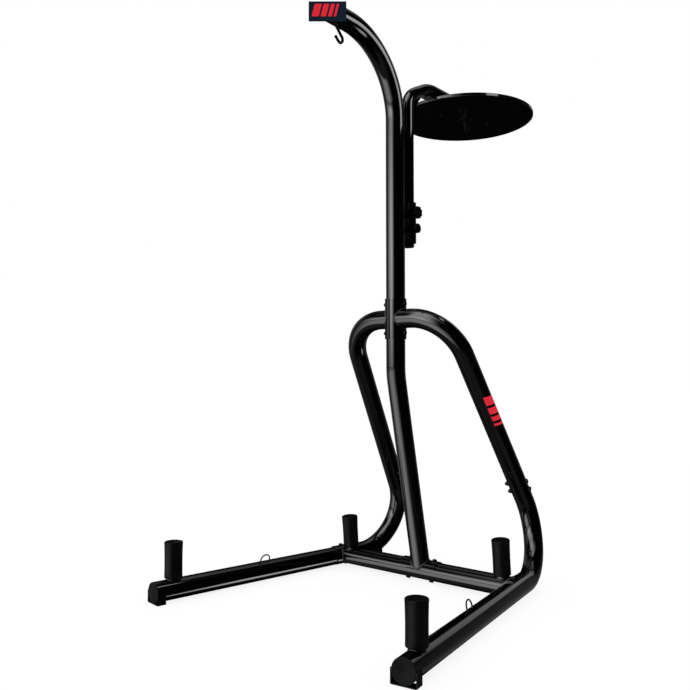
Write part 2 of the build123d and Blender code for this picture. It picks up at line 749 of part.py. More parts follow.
def make_mount_plate():
    """The plate on the board, with an open-topped rail that holds the overarm above it."""
    plate = extrude(RectangleRounded(PLATE_WIDTH, PLATE_LENGTH, 12), PLATE_THICK)
    plate = Pos(0, BOARD_Y, BOARD_HIGH_Z) * plate
    rail_length = BOARD_Y + PLATE_LENGTH / 2 - RAIL_FRONT_Y
    rail_height = SLIDE_CORNERS[1][1] - SLIDE_R / 2 - BOARD_HIGH_Z
    rail_place = Pos(0, RAIL_FRONT_Y + rail_length / 2, BOARD_HIGH_Z + rail_height / 2)
    trough_place = rail_place * Pos(0, RAIL_WALL, RAIL_WALL)
    rail = rail_place * Box(2 * RAIL_HALF_WIDTH, rail_length, rail_height)
    rail -= trough_place * Box(2 * (RAIL_HALF_WIDTH - RAIL_WALL), rail_length, rail_height)
    plate = (plate + rail - slide_swept(SLIDE_R)).solids().sort_by(SortBy.VOLUME)[-1]
    for x, y in board_bolt_spots():
        plate -= Pos(x, y, BOARD_HIGH_Z) * extrude(Circle(M8_HOLE_R), PLATE_THICK)
    return plate


def make_board_fasteners():
    """Round-headed bolts down through the plate and board, with washers and nuts."""
    washer_thick = 1.6
    bolts = []
    washers = []
    nuts = []
    grip = BOARD_HIGH_Z - BOARD_LOW_Z + PLATE_THICK
    head = revolve(Plane.XZ * make_face(ThreePointArc((0, 4.4), (6.4, 3.2), (9.0, 0))
                                        + Polyline((9.0, 0), (0, 0), (0, 4.4))), axis=Axis.Z)
    shank_length = grip + washer_thick + M8[3] + 2
    bolt = head + Pos(0, 0, -shank_length) * extrude(Circle(M8[0]), shank_length)
    washer = extrude(Circle(9) - Circle(M8_HOLE_R), washer_thick)
    for x, y in board_bolt_spots():
        bolts.append(Pos(x, y, BOARD_HIGH_Z + PLATE_THICK) * bolt)
        washers.append(Pos(x, y, BOARD_LOW_Z - washer_thick) * washer)
        nuts.append(Pos(x, y, BOARD_LOW_Z - washer_thick - M8[3]) * hex_nut(M8))
    return bolts, washers, nuts


def make_swivel_flange():
    """The round flange under the board, with a hollow boss that holds the spindle."""
    floor_thick = 4.0
    flange_low = BOARD_LOW_Z - SWIVEL_FLANGE_THICK
    flange = Pos(0, BOARD_Y, flange_low) * extrude(Circle(SWIVEL_FLANGE_R), SWIVEL_FLANGE_THICK)
    flange = chamfer(flange.edges().group_by(Axis.Z)[0], 1)
    boss_height = BOARD_LOW_Z - SWIVEL_BOSS_LOW_Z
    boss = Pos(0, BOARD_Y, SWIVEL_BOSS_LOW_Z) * extrude(Circle(SWIVEL_BOSS_R), boss_height)
    flange += chamfer(boss.edges().group_by(Axis.Z)[0], 1)
    flange -= Pos(0, BOARD_Y, SWIVEL_BOSS_LOW_Z + floor_thick) * extrude(Circle(SPINDLE_HEAD_R + 0.5), 20)
    flange -= Pos(0, BOARD_Y, SWIVEL_BOSS_LOW_Z) * extrude(Circle(SPINDLE_R + RUNNING_GAP), 20)
    for x, y in swivel_screw_spots():
        flange -= Pos(x, y, flange_low) * extrude(Circle(2.2), SWIVEL_FLANGE_THICK)
    return flange


def make_swivel_screws():
    screw = Pos(0, 0, -2.5) * extrude(Circle(4), 2.5)
    screw = chamfer(screw.edges().group_by(Axis.Z)[0], 1) + extrude(Circle(2.0), 11.5)
    return [Pos(x, y, BOARD_LOW_Z - SWIVEL_FLANGE_THICK) * screw for x, y in swivel_screw_spots()]


def make_spindle():
    """The spindle turns in the flange and carries the yoke below it."""
    head_z = SWIVEL_BOSS_LOW_Z + 4.3
    width, depth, height = YOKE_SIZE
    yoke = Pos(0, BOARD_Y, YOKE_TOP_Z - height / 2) * Box(width, depth, height)
    yoke = fillet(yoke.edges().filter_by(Axis.Z), 3)
    yoke = chamfer(yoke.edges().group_by(Axis.Z)[0], 1)
    slot_top = RING_PIVOT_Z + 6
    yoke -= Pos(0, BOARD_Y, slot_top - 20) * Box(YOKE_SLOT, depth + 2, 40)
    stem_length = head_z - YOKE_TOP_Z
    spindle = yoke + Pos(0, BOARD_Y, YOKE_TOP_Z) * extrude(Circle(SPINDLE_R), stem_length)
    spindle += Pos(0, BOARD_Y, head_z) * extrude(Circle(SPINDLE_HEAD_R), 4)
    return spindle - ring_pivot(RING_PIN_R, width + 2)


def ring_pivot(radius, length):
    """A bar along the axis on which the ring swings."""
    half = Vector(length / 2, 0, 0)
    centre = Vector(0, BOARD_Y, RING_PIVOT_Z)
    return bar(centre - half, centre + half, radius)


def make_ring_pin():
    return ring_pivot(RING_PIN_R, YOKE_SIZE[0])


def make_bag_ring():
    """A flat tang on the yoke's pin with the ring that the speed bag clips to."""
    tang_r = 5.0
    tang_low = RING_Z + RING_R
    eye = ring_pivot(tang_r, TANG_THICK)
    height = RING_PIVOT_Z - tang_low
    tang = eye + Pos(0, BOARD_Y, tang_low + height / 2) * Box(TANG_THICK, 7, height)
    tang = tang + Pos(0, BOARD_Y, RING_Z) * Rot(0, 90, 0) * Torus(RING_R, RING_WIRE_R)
    return tang - ring_pivot(RING_PIN_R + RUNNING_GAP, TANG_THICK + 2)


# ---------------------------------------------------------------- all the nodes

os.makedirs("parts", exist_ok=True)

saved_pair("leg_tube", make_leg_tube())
saved_pair("side_tube", make_side_tube())
saved("splice_sleeves", *with_mirror(make_splice_sleeve()))
splice_bolts, splice_nuts = make_splice_fasteners()
saved("splice_bolts", *splice_bolts)
saved("splice_cap_nuts", *splice_nuts)
saved("leg_end_caps", *with_mirror(make_leg_end_cap()))
saved_pair("front_foot", make_front_foot())
saved_pair("rear_foot", make_rear_foot())
saved("tie_down_eyelets", *with_mirror(make_eyelet()))
for place_name, right_front in (("front", True), ("rear", False)):
    peg_post, peg_cover = make_peg(right_front)
    saved_pair(place_name + "_peg", peg_post)
    saved_pair(place_name + "_peg_cover", peg_cover)

saved("crossbeam", make_crossbeam())
saved_pair("leg_saddle", make_leg_saddle())
corner_bolts, corner_nuts = make_corner_fasteners()
saved("corner_bolts", *corner_bolts)
saved("corner_nuts", *corner_nuts)
saved("post_foot_plate", make_foot_plate())
foot_bolts, foot_nuts = make_foot_fasteners()
saved("post_foot_bolts", *foot_bolts)
saved("post_foot_nuts", *foot_nuts)

saved("lower_post", make_lower_post())
saved("upper_post", make_upper_post())
saved("post_sleeve", make_post_sleeve())
saved_pair("collar_half", make_collar_half())
collar_bolts, collar_nuts = make_collar_fasteners()
saved("collar_bolts", *collar_bolts)
saved("collar_cap_nuts", *collar_nuts)
saved("arm_end_plug", make_arm_end_plug())
saved("arm_badge", make_badge())
saved("bag_hook", make_bag_hook())

saved("slide_sleeve", make_slide_sleeve())
saved("slide_liner", make_slide_liner())
saved("slide_tube", make_slide_tube(), make_gusset())
saved("slide_tube_plugs", *make_slide_plugs())
saved("pin_barrel", make_pin_barrel())
saved("pull_pin", make_pull_pin())
saved("pin_spring", make_pin_spring())
saved("pull_pin_knob", make_pin_knob())
saved("clamp_boss", make_clamp_boss())
saved("clamp_screw", make_clamp_screw())
saved("clamp_knob", make_clamp_knob())

saved("speed_bag_board", make_board())
saved("board_mount_plate", make_mount_plate())
board_bolts, board_washers, board_nuts = make_board_fasteners()
saved("board_bolts", *board_bolts)
saved("board_washers", *board_washers)
saved("board_nuts", *board_nuts)
saved("swivel_flange", make_swivel_flange())
saved("swivel_screws", *make_swivel_screws())
saved("swivel_spindle", make_spindle())
saved("swivel_pin", make_ring_pin())
saved("bag_ring", make_bag_ring())
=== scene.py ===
import json
import math

import bpy
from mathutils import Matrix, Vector


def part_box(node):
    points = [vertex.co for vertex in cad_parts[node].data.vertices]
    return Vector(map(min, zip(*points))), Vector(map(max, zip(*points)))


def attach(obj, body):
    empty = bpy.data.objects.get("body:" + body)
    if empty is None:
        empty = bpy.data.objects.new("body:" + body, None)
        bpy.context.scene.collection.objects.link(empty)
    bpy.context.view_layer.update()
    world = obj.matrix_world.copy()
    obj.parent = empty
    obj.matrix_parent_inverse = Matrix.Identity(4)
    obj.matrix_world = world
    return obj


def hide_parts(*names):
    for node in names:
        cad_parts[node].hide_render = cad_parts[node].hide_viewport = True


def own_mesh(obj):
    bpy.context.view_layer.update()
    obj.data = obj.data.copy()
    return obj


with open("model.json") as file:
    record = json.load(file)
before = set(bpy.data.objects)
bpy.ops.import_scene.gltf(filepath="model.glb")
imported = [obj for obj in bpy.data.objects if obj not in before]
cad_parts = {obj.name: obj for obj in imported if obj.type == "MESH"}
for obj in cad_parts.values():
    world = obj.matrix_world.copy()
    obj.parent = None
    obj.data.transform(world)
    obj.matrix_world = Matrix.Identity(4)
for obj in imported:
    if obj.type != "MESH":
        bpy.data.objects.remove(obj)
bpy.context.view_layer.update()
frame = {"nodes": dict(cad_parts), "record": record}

# A two-station boxing stand in gloss black enamel: heavy bag arm in front, speed bag board
# behind. The frame's nodes keep their shapes and get their finishes here. The pieces add weld
# beads, moulded covers and caps, the pull pin's spring, and printed bars.

# ---------------------------------------------------------------- camera, floor and light

CAMERA_PLACE = (1.7659, -2.44024, 0.8306)
CAMERA_YAW = math.radians(40.373)
CAMERA_PITCH = math.radians(2.484)
CAMERA_LENS = 38.888
CAMERA_SENSOR = 36.0
CAMERA_REACH = 100.0

FLOOR_HALF = 60.0
WHITE = (1.0, 1.0, 1.0, 1.0)
FLOOR_BASE = (0.16, 0.16, 0.16, 1.0)
FLOOR_GLOW = 0.86
SKY_STRENGTH = 1.0
HALF_TURN = 180.0
DEGREES = HALF_TURN / math.pi


def make_camera():
    data = bpy.data.cameras.new("camera")
    data.sensor_width = CAMERA_SENSOR
    data.lens = CAMERA_LENS
    data.clip_end = CAMERA_REACH
    camera = bpy.data.objects.new("camera", data)
    camera.location = CAMERA_PLACE
    camera.rotation_euler = (math.pi / 2 + CAMERA_PITCH, 0.0, CAMERA_YAW)
    bpy.context.scene.collection.objects.link(camera)
    bpy.context.scene.camera = camera


def make_floor():
    """A pale floor that glows, so it stays near white and keeps only a faint shadow."""
    mesh = bpy.data.meshes.new("floor")
    half = FLOOR_HALF
    corners = [(-half, -half, 0), (half, -half, 0), (half, half, 0), (-half, half, 0)]
    mesh.from_pydata(corners, [], [(0, 1, 2, 3)])
    floor = bpy.data.objects.new("floor", mesh)
    bpy.context.scene.collection.objects.link(floor)
    material = bpy.data.materials.new("pale_floor")
    material.use_nodes = True
    shader = material.node_tree.nodes["Principled BSDF"]
    shader.inputs["Base Color"].default_value = FLOOR_BASE
    shader.inputs["Emission Color"].default_value = WHITE
    shader.inputs["Emission Strength"].default_value = FLOOR_GLOW
    shader.inputs["Roughness"].default_value = 1.0
    shader.inputs["Specular IOR Level"].default_value = 0.0
    mesh.materials.append(material)
    floor.visible_glossy = False


NOISE_LOW = 0.3
NOISE_HIGH = 0.7


class NodeMaker:
    """Short calls to add and join shader nodes."""

    def __init__(self, tree):
        self.tree = tree

    def add(self, kind, **settings):
        node = self.tree.nodes.new(kind)
        for key, value in settings.items():
            setattr(node, key, value)
        return node

    def join(self, source, target):
        self.tree.links.new(source, target)

    def feed(self, socket, value):
        """Join a socket to another, or set it to a number."""
        if value is None:
            return
        if isinstance(value, bpy.types.NodeSocket):
            self.join(value, socket)
        else:
            socket.default_value = value

    def math(self, operation, a, b=None, c=None):
        node = self.add("ShaderNodeMath", operation=operation)
        for socket, value in zip(node.inputs, (a, b, c)):
            self.feed(socket, value)
        return node.outputs[0]

    def step(self, value, low, high):
        """0 below low and 1 above high, smooth between."""
        node = self.add("ShaderNodeMapRange", interpolation_type="SMOOTHSTEP")
        self.feed(node.inputs["Value"], value)
        node.inputs["From Min"].default_value = low
        node.inputs["From Max"].default_value = high
        return node.outputs["Result"]

    def window(self, value, rise, fall):
        """1 between a rise and a fall, 0 outside them."""
        band = self.math("SUBTRACT", self.step(value, *rise), self.step(value, *fall))
        band.node.use_clamp = True
        return band

    def noise(self, place, scale, detail):
        node = self.add("ShaderNodeTexNoise")
        self.join(place, node.inputs["Vector"])
        node.inputs["Scale"].default_value = scale
        node.inputs["Detail"].default_value = detail
        return node.outputs["Fac"]

    def spread(self, value, low, high):
        """A noise value stretched to a range."""
        node = self.add("ShaderNodeMapRange")
        self.join(value, node.inputs["Value"])
        node.inputs["From Min"].default_value = NOISE_LOW
        node.inputs["From Max"].default_value = NOISE_HIGH
        node.inputs["To Min"].default_value = low
        node.inputs["To Max"].default_value = high
        return node.outputs["Result"]


# Soft boxes that the gloss reflects: azimuth rise and fall, elevation rise and fall in
# degrees (azimuth 0 is -Y and 90 is +X, and counts on past 180), then brightness
SOFT_BOXES = (
    ((-81, -26), (-13, 35), (-40, -34), (-6, -1), 4.2),
    ((-80, 0), (-16, 21), (-6, 10), (9, 31), 10.2),
    ((-38, -27), (1, 31), (18, 24), (46, 64), 4.8),
    ((-81, -30), (13, 78), (38, 68), (81, 87), 5.0),
    ((157, 170), (221, 275), (29, 89), (74, 84), 1.7),
    ((118, 123), (131, 147), (-54, -46), (-36, -32), 6.8),
    ((161, 173), (188, 197), (17, 22), (35, 40), 1.0),
    ((132, 183), (193, 201), (-34, -29), (6, 27), 0.2),
    ((232, 244), (248, 295), (-32, -15), (27, 47), 0.4),
    ((-128, -72), (67, 106), (-70, -52), (-46, -16), 0.2),
)

ARM_PANEL_PLACE = Vector((0.58, 0.20, 2.20))
ARM_PANEL_AIM = Vector((0.0, -0.35, 2.14))
ARM_PANEL_SIZE = (0.30, 0.34)
ARM_PANEL_RADIANCE = 5.5


def make_world():
    """Gloss sees the soft boxes; everything else sees a plain white sky."""
    world = bpy.data.worlds.new("studio")
    bpy.context.scene.world = world
    world.use_nodes = True
    world.cycles.sampling_method = "NONE"
    tree = world.node_tree
    tree.nodes.clear()
    maker = NodeMaker(tree)
    parts = maker.add("ShaderNodeSeparateXYZ")
    maker.join(maker.add("ShaderNodeTexCoord").outputs["Generated"], parts.inputs[0])
    forward = maker.math("MULTIPLY", parts.outputs["Y"], -1.0)
    azimuth = maker.math("ARCTAN2", parts.outputs["X"], forward)
    azimuth = maker.math("MULTIPLY", azimuth, DEGREES)
    elevation = maker.math("MULTIPLY", maker.math("ARCSINE", parts.outputs["Z"]), DEGREES)
    total = 0.0
    for rise, fall, low, high, brightness in SOFT_BOXES:
        middle = (rise[0] + fall[1]) / 2
        turned = maker.math("WRAP", azimuth, middle + HALF_TURN, middle - HALF_TURN)
        across = maker.window(turned, rise, fall)
        mask = maker.math("MULTIPLY", across, maker.window(elevation, low, high))
        total = maker.math("MULTIPLY_ADD", mask, brightness, total)
    boxes = maker.add("ShaderNodeBackground")
    maker.join(total, boxes.inputs["Strength"])
    sky = maker.add("ShaderNodeBackground")
    sky.inputs["Color"].default_value = WHITE
    sky.inputs["Strength"].default_value = SKY_STRENGTH
    path = maker.add("ShaderNodeLightPath")
    mix = maker.add("ShaderNodeMixShader")
    maker.join(path.outputs["Is Glossy Ray"], mix.inputs[0])
    maker.join(sky.outputs[0], mix.inputs[1])
    maker.join(boxes.outputs[0], mix.inputs[2])
    maker.join(mix.outputs[0], maker.add("ShaderNodeOutputWorld").inputs["Surface"])


def make_arm_panel():
    """A small soft box beside the top of the arm, seen only in gloss."""
    data = bpy.data.lights.new("arm_panel", "AREA")
    data.shape = "RECTANGLE"
    data.size, data.size_y = ARM_PANEL_SIZE
    data.energy = ARM_PANEL_RADIANCE * math.pi * data.size * data.size_y
    panel = bpy.data.objects.new("arm_panel", data)
    panel.location = ARM_PANEL_PLACE
    panel.rotation_euler = (ARM_PANEL_AIM - ARM_PANEL_PLACE).to_track_quat("-Z", "Y").to_euler()
    panel.visible_camera = False
    panel.visible_diffuse = False
    bpy.context.scene.collection.objects.link(panel)


# ---------------------------------------------------------------- materials

BLUE_TINT = 1.04
CLOUD_SCALE = 9.0
RELIEF_DEPTH = 0.0001


def grey(value):
    return (value, value, value * BLUE_TINT)


# Finish of each slot, and of the red print: name, darkest and lightest colour, roughness
# range, specular level, metallic, grain per metre, strength of the relief
FINISHES = {
    "frame_paint": ("gloss_black_enamel", grey(0.0004), grey(0.0009), (0.05, 0.09), 0.5, 0.0, 420.0, 0.04),
    "foot_paint": ("satin_black", grey(0.0005), grey(0.0010), (0.25, 0.35), 0.06, 0.0, 900.0, 0.2),
    "dark_fastener": ("black_oxide", grey(0.0006), grey(0.0014), (0.22, 0.36), 0.12, 0.0, 900.0, 0.25),
    "bare_steel": ("zinc_plate", grey(0.35), grey(0.5), (0.22, 0.34), 0.5, 1.0, 900.0, 0.2),
    "wire_steel": ("black_wire", grey(0.0008), grey(0.0020), (0.15, 0.25), 0.12, 0.0, 900.0, 0.15),
    "swivel_steel": ("dark_plate", grey(0.0008), grey(0.0020), (0.25, 0.4), 0.12, 0.0, 900.0, 0.2),
    "cap_plastic": ("moulded_black", grey(0.0028), grey(0.0042), (0.5, 0.62), 0.05, 0.0, 1500.0, 0.5),
    "knob_plastic": ("knob_black", grey(0.0006), grey(0.0014), (0.3, 0.42), 0.12, 0.0, 1500.0, 0.4),
    "peg_rubber": ("peg_rubber", grey(0.0009), grey(0.0018), (0.34, 0.48), 0.07, 0.0, 1300.0, 0.5),
    "board_laminate": ("board_laminate", grey(0.0010), grey(0.0019), (0.08, 0.13), 0.5, 0.0, 300.0, 0.04),
    "badge_paint": ("badge_navy", (0.0034, 0.0092, 0.0190), (0.0046, 0.0120, 0.0245),
                    (0.3, 0.42), 0.10, 0.0, 1200.0, 0.2),
    "print_red": ("print_red", (0.64, 0.0150, 0.0290), (0.72, 0.0190, 0.0350),
                  (0.32, 0.45), 0.10, 0.0, 1200.0, 0.15),
}


def make_material(name, dark, light, roughness, specular, metallic, grain, bump):
    """A finish with fine mottling, cloudy roughness and a fine relief."""
    material = bpy.data.materials.new(name)
    material.use_nodes = True
    maker = NodeMaker(material.node_tree)
    shader = material.node_tree.nodes["Principled BSDF"]
    place = maker.add("ShaderNodeTexCoord").outputs["Object"]
    fine = maker.noise(place, grain, 3.0)
    cloud = maker.noise(place, CLOUD_SCALE, 4.0)
    ramp = maker.add("ShaderNodeValToRGB")
    ramp.color_ramp.elements[0].position = NOISE_LOW
    ramp.color_ramp.elements[0].color = (*dark, 1.0)
    ramp.color_ramp.elements[1].position = NOISE_HIGH
    ramp.color_ramp.elements[1].color = (*light, 1.0)
    half_cloud = maker.math("MULTIPLY", cloud, 0.5)
    maker.join(maker.math("MULTIPLY_ADD", fine, 0.5, half_cloud), ramp.inputs["Fac"])
    maker.join(ramp.outputs["Color"], shader.inputs["Base Color"])
    maker.join(maker.spread(cloud, *roughness), shader.inputs["Roughness"])
    shader.inputs["Metallic"].default_value = metallic
    shader.inputs["Specular IOR Level"].default_value = specular
    relief = maker.add("ShaderNodeBump")
    relief.inputs["Strength"].default_value = bump
    relief.inputs["Distance"].default_value = RELIEF_DEPTH
    maker.join(fine, relief.inputs["Height"])
    maker.join(relief.outputs["Normal"], shader.inputs["Normal"])
    return material


def make_finishes():
    return {slot: make_material(*row) for slot, row in FINISHES.items()}


def paint_frame(finishes):
    """Give every node the finish of its slot."""
    slots = {entry["node"]: entry["material_slot"] for entry in frame["record"]["subparts"]}
    for name, node in frame["nodes"].items():
        finish = finishes[slots[name]]
        if node.data.materials:
            for place in range(len(node.data.materials)):
                node.data.materials[place] = finish
        else:
            node.data.materials.append(finish)


# ---------------------------------------------------------------- dimensions of the frame

def box_centre(node):
    """The middle of a node's box at rest."""
    low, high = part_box(node)
    return (Vector(low) + Vector(high)) / 2


# Metres, unless said otherwise
POST_Y = box_centre("right_collar_half").y
TUBE_R = 0.038
SADDLE_R = 0.042
COLLAR_R = 0.043
PEG_R = 0.024
UP = Vector((0.0, 0.0, 1.0))
RIGHT = Vector((1.0, 0.0, 0.0))
BACK = Vector((0.0, 1.0, 0.0))


def spot(x, y, z):
    """A point from millimetres in the part's own frame, whose y starts at the post."""
    return Vector((x / 1000, y / 1000 + POST_Y, z / 1000))


LEG_FRONT = spot(565.0, -732.0, 41.0)
REAR_CORNER = spot(356.4, 619.5, 41.0)
SHOULDER = spot(245.4, 0.0, 1062.4)
LEG_DIR = (REAR_CORNER - LEG_FRONT).normalized()
SIDE_DIR = (SHOULDER - REAR_CORNER).normalized()
BEAM_CENTRE = spot(0.0, 171.4, 45.0)
KINK = spot(0.0, 0.0, 840.0)
FRONT_PEG = spot(552.9, -653.3, 41.0)
REAR_PEG = spot(371.5, 171.4, 45.0)
REAR_PEG_LEAN = math.radians(4.75)
REAR_PEG_UP = Vector((0.0, -math.sin(REAR_PEG_LEAN), math.cos(REAR_PEG_LEAN)))
PEG_REACH = 0.1755
SLIDE_AXIS = spot(0.0, 85.6, 1434.5)
SLEEVE_R = 0.034
CLAMP_RISE = 0.0645
BARREL_R = 0.009
CLAMP_BOSS_R = 0.010
EYELET_Y = spot(0, -250.0, 0).y
EYELET_WIRE_R = 0.0027
EYELET_HALF_SPAN = 0.0215
EYELET_LEAN = math.radians(14.0)
ARM_AXIS = spot(0, -385.0, 2163.5)
HOOK_HIGH = spot(0, -368.0, 2128.0)
HOOK_LOW = spot(0, -320.6, 2082.2)
HOOK_WIRE_R = 0.0053

# The sleeve's two webs and their welds, in millimetres for spot()
WEB_X = 22.0
WEB_LOWS = (1384.0, 1446.0, 1508.0)
WEB_EDGES = (31.0, 59.7)
WEB_WELD = 28.0


def mirrored(vector):
    """The same point or direction on the other side of the stand."""
    return Vector((-vector.x, vector.y, vector.z))


# ---------------------------------------------------------------- mesh helpers

def add_piece(name, verts, faces, finish, body, replaced=(), sharp=35.0):
    """A smooth piece on a body, with edges over the sharp angle left crisp."""
    mesh = bpy.data.meshes.new(name)
    mesh.from_pydata([tuple(v) for v in verts], [], faces)
    mesh.validate()
    mesh.shade_smooth()
    mesh.set_sharp_from_angle(angle=math.radians(sharp))
    mesh.materials.append(finish)
    piece = bpy.data.objects.new(name, mesh)
    bpy.context.scene.collection.objects.link(piece)
    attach(piece, body)
    if replaced:
        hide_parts(*replaced)
    return piece


def across_pair(direction):
    """Two unit vectors square to a direction and to each other."""
    start = RIGHT if abs(direction.x) < 0.9 else BACK
    first = direction.cross(start).normalized()
    return first, direction.cross(first).normalized()


def lathe(verts, faces, profile, origin, axis):
    """Turn a profile of (radius, height) that starts and ends on the axis."""
    first, second = across_pair(axis)
    rows = []
    for radius, height in profile:
        centre = origin + axis * height
        if radius == 0.0:
            rows.append([len(verts)])
            verts.append(centre)
            continue
        row = []
        for number in range(LATHE_SIDES):
            angle = 2 * math.pi * number / LATHE_SIDES
            row.append(len(verts))
            verts.append(centre + (first * math.cos(angle) + second * math.sin(angle)) * radius)
        rows.append(row)
    for low, high in zip(rows, rows[1:]):
        for number in range(LATHE_SIDES):
            after = (number + 1) % LATHE_SIDES
            if len(low) == 1:
                faces.append((low[0], high[after], high[number]))
            elif len(high) == 1:
                faces.append((low[number], low[after], high[0]))
            else:
                faces.append((low[number], low[after], high[after], high[number]))


def bead_rings(verts, faces, centres, normals, radii, closed, sides=10):
    """A bead through the centres, its rings squared to the path."""
    count = len(centres)
    rows = []
    for number in range(count):
        ahead = centres[(number + 1) % count] if closed or number < count - 1 else centres[number]
        behind = centres[number - 1] if closed or number > 0 else centres[number]
        tangent = (ahead - behind).normalized()
        first = (normals[number] - tangent * normals[number].dot(tangent)).normalized()
        second = tangent.cross(first)
        row = []
        for side in range(sides):
            angle = 2 * math.pi * side / sides
            row.append(len(verts))
            offset = first * math.cos(angle) + second * math.sin(angle)
            verts.append(centres[number] + offset * radii[number])
        rows.append(row)
    pairs = list(zip(rows, rows[1:]))
    if closed:
        pairs.append((rows[-1], rows[0]))
    for low, high in pairs:
        for side in range(sides):
            after = (side + 1) % sides
            faces.append((low[side], low[after], high[after], high[side]))
    if not closed:
        faces.append(tuple(reversed(rows[0])))
        faces.append(tuple(rows[-1]))


# ---------------------------------------------------------------- weld beads

RIPPLE_STEPS = 5
RIPPLE_DEPTH = 0.14
ROUND_RIPPLE = 1.92
LINE_RIPPLE = 1.5
FEWEST_ROUND = 6
FEWEST_LINE = 4
BLUNT_END = 0.04
TUBE_BEAD = 0.0032
COLLAR_BEAD = 0.0030
PEG_BEAD = 0.0028
WEB_BEAD = 0.0022
WIRE_BEAD = 0.0016
BOSS_BEAD = 0.0014


def ripple(number, bead):
    """The bead's radius, with the ripples that a weld pool leaves."""
    phase = (number % RIPPLE_STEPS) / RIPPLE_STEPS
    return bead * (1.0 + RIPPLE_DEPTH * math.cos(2 * math.pi * phase))


def weld_round(verts, faces, start, away, radius, main_start, main_dir, main_radius, bead):
    """A bead where a tube along away meets a larger tube along main_dir."""
    first, second = across_pair(away)
    ripples = max(round(2 * math.pi * radius / (bead * ROUND_RIPPLE)), FEWEST_ROUND)
    count = RIPPLE_STEPS * ripples
    centres = []
    normals = []
    flat_away = away - main_dir * away.dot(main_dir)
    for number in range(count):
        angle = 2 * math.pi * number / count
        out = first * math.cos(angle) + second * math.sin(angle)
        point = start + out * radius
        gap = point - main_start
        flat_gap = gap - main_dir * gap.dot(main_dir)
        a = flat_away.length_squared
        b = 2 * flat_away.dot(flat_gap)
        c = flat_gap.length_squared - main_radius ** 2
        reach = (-b + math.sqrt(max(b * b - 4 * a * c, 0.0))) / (2 * a)
        centres.append(point + away * reach)
        normals.append(out)
    radii = [ripple(number, bead) for number in range(count)]
    bead_rings(verts, faces, centres, normals, radii, closed=True)


def weld_line(verts, faces, start, end, normal, bead):
    """A short straight bead with rounded ends."""
    length = (end - start).length
    count = RIPPLE_STEPS * max(round(length / (bead * LINE_RIPPLE)), FEWEST_LINE)
    centres = [start.lerp(end, number / count) for number in range(count + 1)]
    radii = []
    for number in range(count + 1):
        inset = min(number, count - number) / RIPPLE_STEPS
        taper = math.sqrt(max(1 - (1 - min(inset, 1.0)) ** 2, BLUNT_END))
        radii.append(ripple(number, bead) * taper)
    bead_rings(verts, faces, centres, [normal] * (count + 1), radii, closed=False)


def make_welds(finishes):
    """Beads round the pegs, beam, collar, eyelets, post, pin and clamp, hook and webs."""
    verts = []
    faces = []

    def one(start, away, radius, main_start, main_dir, main_radius, bead):
        weld_round(verts, faces, start, away, radius, main_start, main_dir, main_radius, bead)

    def both_sides(start, away, radius, main_start, main_dir, main_radius, bead):
        one(start, away, radius, main_start, main_dir, main_radius, bead)
        one(mirrored(start), mirrored(away), radius, mirrored(main_start), mirrored(main_dir),
            main_radius, bead)

    both_sides(FRONT_PEG, UP, PEG_R, LEG_FRONT, LEG_DIR, TUBE_R, PEG_BEAD)
    both_sides(REAR_PEG, REAR_PEG_UP, PEG_R, BEAM_CENTRE, RIGHT, TUBE_R, PEG_BEAD)
    both_sides(BEAM_CENTRE, -RIGHT, TUBE_R, LEG_FRONT, LEG_DIR, SADDLE_R, TUBE_BEAD)
    both_sides(SHOULDER, RIGHT, TUBE_R, KINK, UP, COLLAR_R, COLLAR_BEAD)
    inward = UP.cross(LEG_DIR)
    lean = UP * math.cos(EYELET_LEAN) + inward * math.sin(EYELET_LEAN)
    for along in (-EYELET_HALF_SPAN, EYELET_HALF_SPAN):
        foot = LEG_FRONT + LEG_DIR * ((EYELET_Y - LEG_FRONT.y) / LEG_DIR.y + along)
        both_sides(foot, lean, EYELET_WIRE_R, LEG_FRONT, LEG_DIR, TUBE_R, WIRE_BEAD)
    post_up = (KINK - BEAM_CENTRE).normalized()
    one(BEAM_CENTRE, post_up, TUBE_R, BEAM_CENTRE, RIGHT, SADDLE_R, TUBE_BEAD)
    one(SLIDE_AXIS, RIGHT, BARREL_R, SLIDE_AXIS, UP, SLEEVE_R, BOSS_BEAD)
    clamp_axis = SLIDE_AXIS + UP * CLAMP_RISE
    one(clamp_axis, RIGHT, CLAMP_BOSS_R, SLIDE_AXIS, UP, SLEEVE_R, BOSS_BEAD)
    hook_away = (HOOK_LOW - HOOK_HIGH).normalized()
    one(HOOK_HIGH, hook_away, HOOK_WIRE_R, ARM_AXIS, BACK, TUBE_R, WIRE_BEAD)
    for side in (-1, 1):
        for low in WEB_LOWS:
            for y in WEB_EDGES:
                start = spot(side * WEB_X, y, low)
                end = spot(side * WEB_X, y, low + WEB_WELD)
                weld_line(verts, faces, start, end, RIGHT * side, WEB_BEAD)
    add_piece("weld_beads", verts, faces, finishes["frame_paint"], "frame", sharp=60.0)


# ---------------------------------------------------------------- covers and caps

LATHE_SIDES = 96

# Peg cover: heights along the peg from the tube's axis, radii at the foot, waist and top
COVER_LOW = 0.041
COVER_FOOT_R = 0.0337
COVER_WAIST_R = 0.0331
COVER_TOP_R = 0.0348
COVER_FOOT_ROUND = 0.004
COVER_TOP_ROUND = 0.0045
COVER_TOP_WALL = 0.010
COVER_STEPS = 13
GROOVE_DROP = 0.0125

# Radius, and height from the groove and from the top
GROOVE = ((0.0341, -0.0004), (0.0335, 0.0003), (0.0335, 0.0013), (0.0344, 0.0020), (0.0348, 0.0032))
DISH = ((0.0270, 0.0), (0.0258, -0.0003), (0.0245, -0.0012), (0.0, -0.0014))

